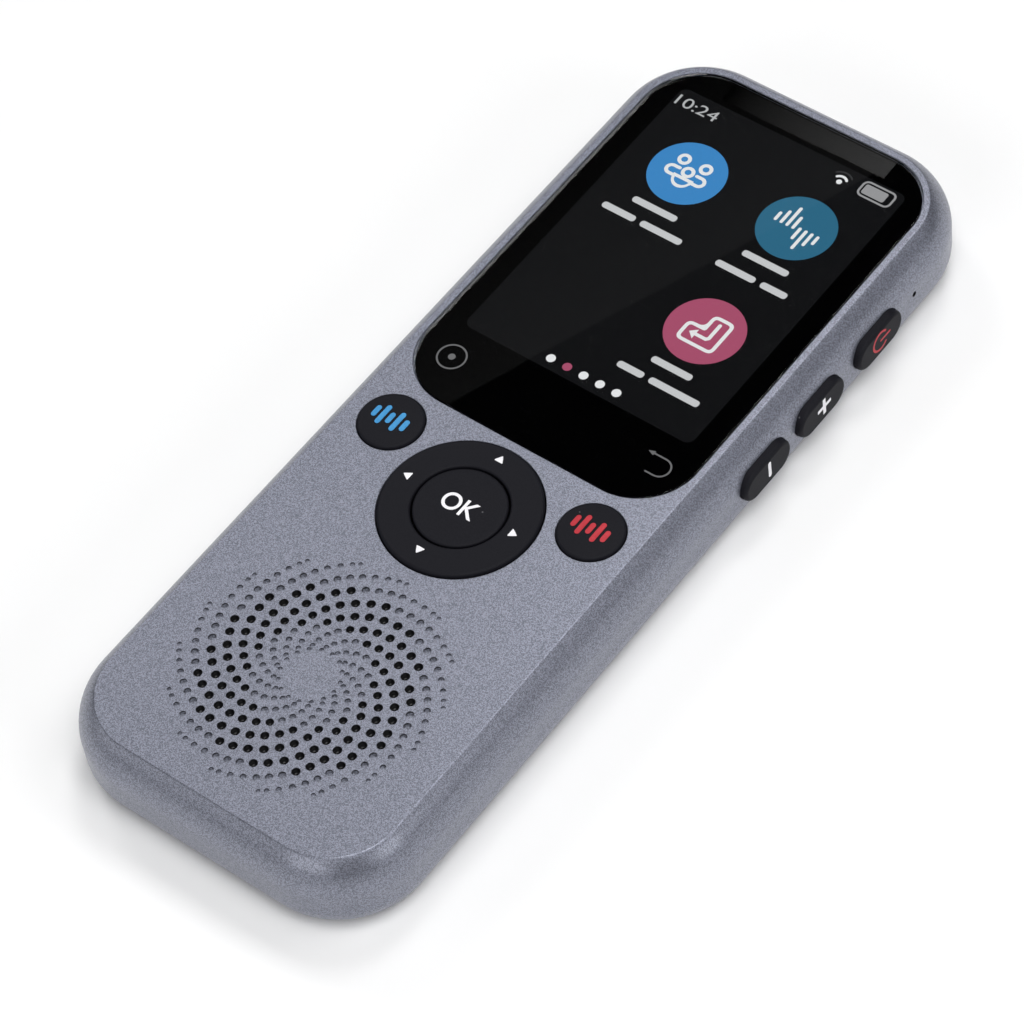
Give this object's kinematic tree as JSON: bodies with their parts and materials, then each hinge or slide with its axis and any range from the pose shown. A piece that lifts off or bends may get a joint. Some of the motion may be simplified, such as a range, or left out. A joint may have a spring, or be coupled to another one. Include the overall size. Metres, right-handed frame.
{
  "type": "handheld translator",
  "caption": "Bar-shaped pocket translator with a flush screen, round four-way key, talk keys, spiral speaker grille and side keys.",
  "frame": {"origin": "middle of the flat back", "axes": "+X to the right of the upright screen, +Y to the screen end, +Z out of the screen"},
  "size_m": [0.0513, 0.135, 0.0134],
  "materials": {
    "housing_paint": "fine metallic grey paint, satin",
    "black_glass": "black-printed cover glass, gloss",
    "display": "display panel",
    "key_rubber": "soft-touch black",
    "black_plastic": "moulded, matt",
    "white_plastic": "moulded, matt",
    "steel": "pressed, satin",
    "board": "solder mask, satin",
    "battery_foil": "pouch foil, satin",
    "foam": "foam tape",
    "speaker_cloth": "fine woven mesh",
    "flex_film": "polyimide film",
    "lead_insulation": "insulated wire"
  },
  "bodies": {
    "root": {"front_housing": "housing_paint", "rear_housing": "housing_paint", "screen_glass": "black_glass", "glass_adhesive": "foam", "display_panel": "display", "display_backlight": "steel", "display_flex": "flex_film", "display_connector": "black_plastic", "main_board": "board", "shield_can": "steel", "processor_chip": "black_plastic", "memory_chip": "black_plastic", "battery": "battery_foil", "battery_pad": "foam", "battery_lead": "lead_insulation", "battery_plug": "white_plastic", "usb_shell": "steel", "usb_tongue": "black_plastic", "speaker_mesh": "speaker_cloth", "speaker_gasket": "foam", "speaker_frame": "steel", "speaker_cone": "speaker_cloth", "speaker_magnet": "steel", "microphone": "steel", "wifi_antenna": "flex_film", "ok_switch": "steel", "talk_left_switch": "steel", "talk_right_switch": "steel", "nav_up_switch": "steel", "nav_down_switch": "steel", "nav_left_switch": "steel", "nav_right_switch": "steel", "power_switch": "steel", "volume_up_switch": "steel", "volume_down_switch": "steel", "case_screw_1": "steel", "case_screw_2": "steel", "case_screw_3": "steel", "case_screw_4": "steel", "board_screw_1": "steel", "board_screw_2": "steel"},
    "ok_key": {"ok_button": "key_rubber", "ok_plunger": "black_plastic"},
    "talk_left_key": {"talk_left_button": "key_rubber", "talk_left_plunger": "black_plastic"},
    "talk_right_key": {"talk_right_button": "key_rubber", "talk_right_plunger": "black_plastic"},
    "nav_carrier": {"nav_rocker": "black_plastic", "nav_up_plunger": "black_plastic", "nav_down_plunger": "black_plastic"},
    "nav_key": {"nav_ring": "key_rubber", "nav_left_plunger": "black_plastic", "nav_right_plunger": "black_plastic"},
    "power_key": {"power_button": "key_rubber", "power_plunger": "black_plastic"},
    "volume_up_key": {"volume_up_button": "key_rubber", "volume_up_plunger": "black_plastic"},
    "volume_down_key": {"volume_down_button": "key_rubber", "volume_down_plunger": "black_plastic"}
  },
  "joints": [
    {"name": "ok_press", "type": "slide", "parent": "root", "child": "ok_key", "axis": [0, 0, -1], "range_m": [0, 0.0004], "stiffness_N_per_m": 400},
    {"name": "talk_left_press", "type": "slide", "parent": "root", "child": "talk_left_key", "axis": [0, 0, -1], "range_m": [0, 0.0004], "stiffness_N_per_m": 400},
    {"name": "talk_right_press", "type": "slide", "parent": "root", "child": "talk_right_key", "axis": [0, 0, -1], "range_m": [0, 0.0004], "stiffness_N_per_m": 400},
    {"name": "nav_tilt_up_down", "type": "hinge", "parent": "root", "child": "nav_carrier", "pos_m": [0, -0.0136, 0.0105], "axis": [1, 0, 0], "range_deg": [-1.5, 1.5], "stiffness_Nm_per_rad": 0.02},
    {"name": "nav_tilt_left_right", "type": "hinge", "parent": "nav_carrier", "child": "nav_key", "pos_m": [0, -0.0136, 0.0105], "axis": [0, 1, 0], "range_deg": [-1.5, 1.5], "stiffness_Nm_per_rad": 0.02},
    {"name": "power_press", "type": "slide", "parent": "root", "child": "power_key", "axis": [-1, 0, 0], "range_m": [0, 0.00035], "stiffness_N_per_m": 400},
    {"name": "volume_up_press", "type": "slide", "parent": "root", "child": "volume_up_key", "axis": [-1, 0, 0], "range_m": [0, 0.00035], "stiffness_N_per_m": 400},
    {"name": "volume_down_press", "type": "slide", "parent": "root", "child": "volume_down_key", "axis": [-1, 0, 0], "range_m": [0, 0.00035], "stiffness_N_per_m": 400}
  ]
}
